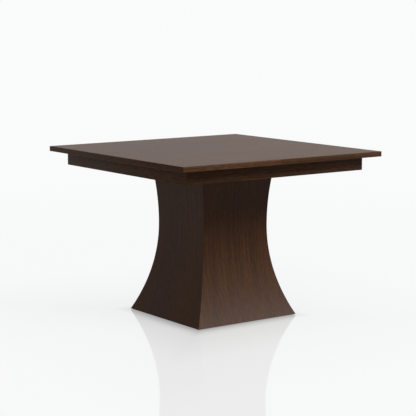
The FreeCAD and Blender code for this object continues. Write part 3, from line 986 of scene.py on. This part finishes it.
@dataclass
class Works:
    """Slides, equalizer, locks and blocks under the top, with their arrises taken off."""

    least_edge: float = 0.008
    flat_angle: float = math.radians(0.5)
    ease_segments: int = 2
    eases: ClassVar[dict[str, float]] = {
        "mounting_plate": 0.001, "rail": 0.0005, "runner": 0.0005, "rack_block": 0.0008,
        "corner_blocks": 0.001, "apron_cleats": 0.001, "lock_plates": 0.0003, "lock_lever": 0.0004,
        "rack_guide": 0.0003, "rack": 0.0003,
    }

    def build(self) -> None:
        """Ease the pieces that show from below."""
        for number, node in enumerate(sorted(frame["nodes"])):
            width = next((ease for end, ease in self.eases.items() if node.endswith(end)), None)
            if width:
                self.eased(node, width, number)

    def eased(self, node: str, width: float, board: int) -> None:
        """Copy a node and round its long outer edges.

        Args:
            node: The node's name.
            width: How far the rounding reaches.
            board: Number of the board that a wooden piece is cut from.
        """
        copy = Bench.merged(node)
        bmesh.ops.dissolve_limit(
            copy, angle_limit=self.flat_angle, verts=copy.verts, edges=copy.edges,
            use_dissolve_boundaries=False,
        )
        sharp = [
            edge for edge in copy.edges
            if edge.is_manifold and edge.is_convex and edge.calc_length() > self.least_edge
            and edge.calc_face_angle() > SHARP_ANGLE
        ]
        Bench.ease(copy, sharp, width, self.ease_segments)
        if Bench.slots[node] is Slot.PLAIN_WOOD:
            materials = [
                BARE.material(node, Grain.ALONG_X, board),
                BARE.material(f"{node}_end", Grain.ALONG_Y, board),
            ]
            for solid in Bench.solids(copy):
                low, high = Bench.extent(solid)
                for face in {face for vert in solid for face in vert.link_faces}:
                    face.material_index = int(high.y - low.y > high.x - low.x + MM)
        else:
            materials = [self.fitting(node)]
        Bench.finish(copy, f"{node}_eased", node, materials)

    @staticmethod
    def fitting(node: str) -> bpy.types.Material:
        """Finish of a node of steel or nylon."""
        return (ZINC if Bench.slots[node] is Slot.ZINC_STEEL else NYLON).material(node)

    def dress(self) -> None:
        """Give every node that still shows its finish."""
        for number, (node, piece) in enumerate(sorted(frame["nodes"].items())):
            if piece.hide_render or node.endswith("top_panel"):
                continue
            if Bench.slots[node] is Slot.PLAIN_WOOD:
                grain = Grain.UPRIGHT if node.endswith("posts") else Grain.ALONG_X
                Bench.paint(node, BARE.material(node, grain, number))
            else:
                Bench.paint(node, self.fitting(node))


@dataclass(frozen=True)
class SoftBox:
    """Flat studio lamp that faces a point; sizes in metres, power in watts."""

    name: str
    place: Point
    target: Point
    width: float
    height: float
    power: float
    mirrored: bool = False

    def hang(self) -> None:
        """Hang the lamp, out of the camera's sight."""
        light = bpy.data.lights.new(self.name, "AREA")
        light.shape = "RECTANGLE"
        light.size = self.width
        light.size_y = self.height
        light.energy = self.power
        lamp = bpy.data.objects.new(self.name, light)
        lamp.location = self.place
        aim = Vector(self.target) - Vector(self.place)
        lamp.rotation_euler = aim.to_track_quat("-Z", "Y").to_euler()
        lamp.visible_camera = False
        lamp.visible_glossy = self.mirrored
        bpy.context.scene.collection.objects.link(lamp)


SOFT_BOXES = (
    SoftBox(
        "key", place=(5.58, -5.45, 6.12), target=(0.0, -0.2, 0.35), width=4.1, height=3.9, power=1506.0,
        mirrored=True,
    ),
    SoftBox("left_fill", place=(-4.8, -1.2, 2.2), target=(0.0, 0.0, 0.4), width=2.4, height=2.4, power=43.5),
    SoftBox("back_fill", place=(-0.6, 5.2, 4.2), target=(0.0, 0.0, 0.4), width=2.4, height=2.4, power=89.0),
)


@dataclass
class Studio:
    """White sweep, soft lamps and the camera at the photograph's place, in metres and degrees."""

    focal_pixels: float = 1386.6
    camera_place: Point = (-3.655, -5.008, 1.369)
    yaw: float = 35.937
    pitch: float = 8.174
    floor_reach: float = 6.0
    floor_segments: int = 96
    fade_start: float = 2.2
    fade_end: float = 5.0
    paleness: float = 0.31
    mirror_tone: float = 0.96
    mirror_roughness: float = 0.06
    white: Colour = (0.955, 0.96, 0.96)
    ambient: float = 0.042
    # Whiteness of the floor, lower near the pedestal's foot: painted shade round the foot, on top of the real
    # shadow in the matt share
    white_stops: Stops = ((0.27, 0.65), (0.33, 0.88), (0.6, 0.93), (1.2, 0.975))
    # Mirror share of the floor, higher near the pedestal's foot so that the dark reflection there paints
    # shade round the foot
    mirror_stops: Stops = ((0.27, 0.42), (0.31, 0.29), (0.36, 0.2), (0.7, 0.12), (1.2, 0.11))

    def build(self) -> None:
        """Build the floor, world, lamps and camera."""
        self.floor()
        self.world()
        for box in SOFT_BOXES:
            box.hang()
        self.camera()
        bpy.context.scene.view_settings.view_transform = "Standard"

    @staticmethod
    def seen(sheet: NodeSheet) -> bpy.types.NodeSocket:
        """Factor that is 1 for what the camera, gloss and glass look at.

        Args:
            sheet: Tree to add it to.

        Returns:
            The factor's socket.
        """
        rays = sheet.add("ShaderNodeLightPath").outputs
        glossy = sheet.maths("MAXIMUM", rays["Is Glossy Ray"], rays["Is Transmission Ray"])
        return sheet.maths("MAXIMUM", rays["Is Camera Ray"], glossy)

    @staticmethod
    def beside(sheet: NodeSheet, place: bpy.types.NodeSocket, stops: Stops) -> bpy.types.NodeSocket:
        """Value that changes with the distance from the table's axis, measured square to its sides.

        Args:
            sheet: Tree to add it to.
            place: Coordinates on the floor.
            stops: Distances and values, from near to far.

        Returns:
            The value's socket.
        """
        far = stops[-1][0]
        away = sheet.add("ShaderNodeVectorMath", {0: place}, operation="ABSOLUTE").outputs[0]
        axes = sheet.add("ShaderNodeSeparateXYZ", {0: away}).outputs
        distance = sheet.maths("DIVIDE", sheet.maths("MAXIMUM", axes["X"], axes["Y"]), far)
        return sheet.ramp(distance, [(stop / far, (value, value, value)) for stop, value in stops])

    def floor(self) -> None:
        """Lay a round floor."""
        slab = bmesh.new()
        bmesh.ops.create_circle(slab, cap_ends=True, radius=self.floor_reach, segments=self.floor_segments)
        mesh = bpy.data.meshes.new("floor")
        slab.to_mesh(mesh)
        slab.free()
        mesh.materials.append(self.pale_floor())
        plane = bpy.data.objects.new("floor", mesh)
        bpy.context.scene.collection.objects.link(plane)

    def pale_floor(self) -> bpy.types.Material:
        """Make a pale, faintly mirroring finish that fades into the white round the floor, with painted shade
        near the pedestal's foot: less white and more mirror there.

        Returns:
            The floor's material.
        """
        material, sheet = new_material("pale_floor")
        place = sheet.add("ShaderNodeTexCoord").outputs["Object"]
        reach = sheet.add("ShaderNodeVectorMath", {0: place}, operation="LENGTH").outputs["Value"]
        pale = {"Color": (self.paleness, self.paleness, self.paleness, 1.0)}
        matt = sheet.add("ShaderNodeBsdfDiffuse", pale).outputs[0]
        glow = sheet.add("ShaderNodeEmission", {"Color": (*self.white, 1.0), "Strength": 1.0}).outputs[0]
        # Less white emission near the foot lets the dark matt share show: painted shade round the pedestal
        white_share_with_foot_shade = sheet.maths("MULTIPLY", self.seen(sheet), self.beside(sheet, place, self.white_stops))
        lit = sheet.mix(white_share_with_foot_shade, matt, glow)
        polish = {
            "Color": (self.mirror_tone, self.mirror_tone, self.mirror_tone, 1.0),
            "Roughness": self.mirror_roughness,
        }
        gloss = sheet.add("ShaderNodeBsdfGlossy", polish).outputs[0]
        # A real reflection, made stronger near the foot: painted shade round the pedestal
        polished = sheet.mix(self.beside(sheet, place, self.mirror_stops), lit, gloss)
        clear = sheet.add("ShaderNodeBsdfTransparent").outputs[0]
        shown = sheet.mix(sheet.stretch(reach, self.fade_start, self.fade_end), polished, clear)
        sheet.add("ShaderNodeOutputMaterial", {"Surface": shown})
        return material

    def world(self) -> None:
        """Surround the table with soft light, and with white where it is looked at."""
        world = bpy.data.worlds.new("studio")
        world.use_nodes = True
        sheet = NodeSheet(world.node_tree)
        strength = sheet.spread(self.seen(sheet), self.ambient, 1.0)
        backdrop = sheet.add("ShaderNodeBackground", {"Color": (*self.white, 1.0), "Strength": strength})
        sheet.add("ShaderNodeOutputWorld", {"Surface": backdrop.outputs[0]})
        bpy.context.scene.world = world

    def camera(self) -> None:
        """Stand the camera where the photograph was taken."""
        lens = bpy.data.cameras.new("camera")
        lens.lens = lens.sensor_width * self.focal_pixels / PHOTO_WIDTH
        camera = bpy.data.objects.new("camera", lens)
        camera.location = self.camera_place
        camera.rotation_euler = (math.radians(90 - self.pitch), 0.0, math.radians(-self.yaw))
        bpy.context.scene.collection.objects.link(camera)
        bpy.context.scene.camera = camera


def main() -> None:
    """Build every sub-assembly in order, then the studio."""
    logging.basicConfig(level=logging.INFO, format="%(name)s: %(message)s")
    Pedestal().build()
    for side in Side:
        half = TopHalf(side)
        half.build()
        half.dress()
    Screws().build()
    TurnedPieces().build()
    works = Works()
    works.build()
    works.dress()
    Studio().build()


if __name__ == "__main__":
    main()
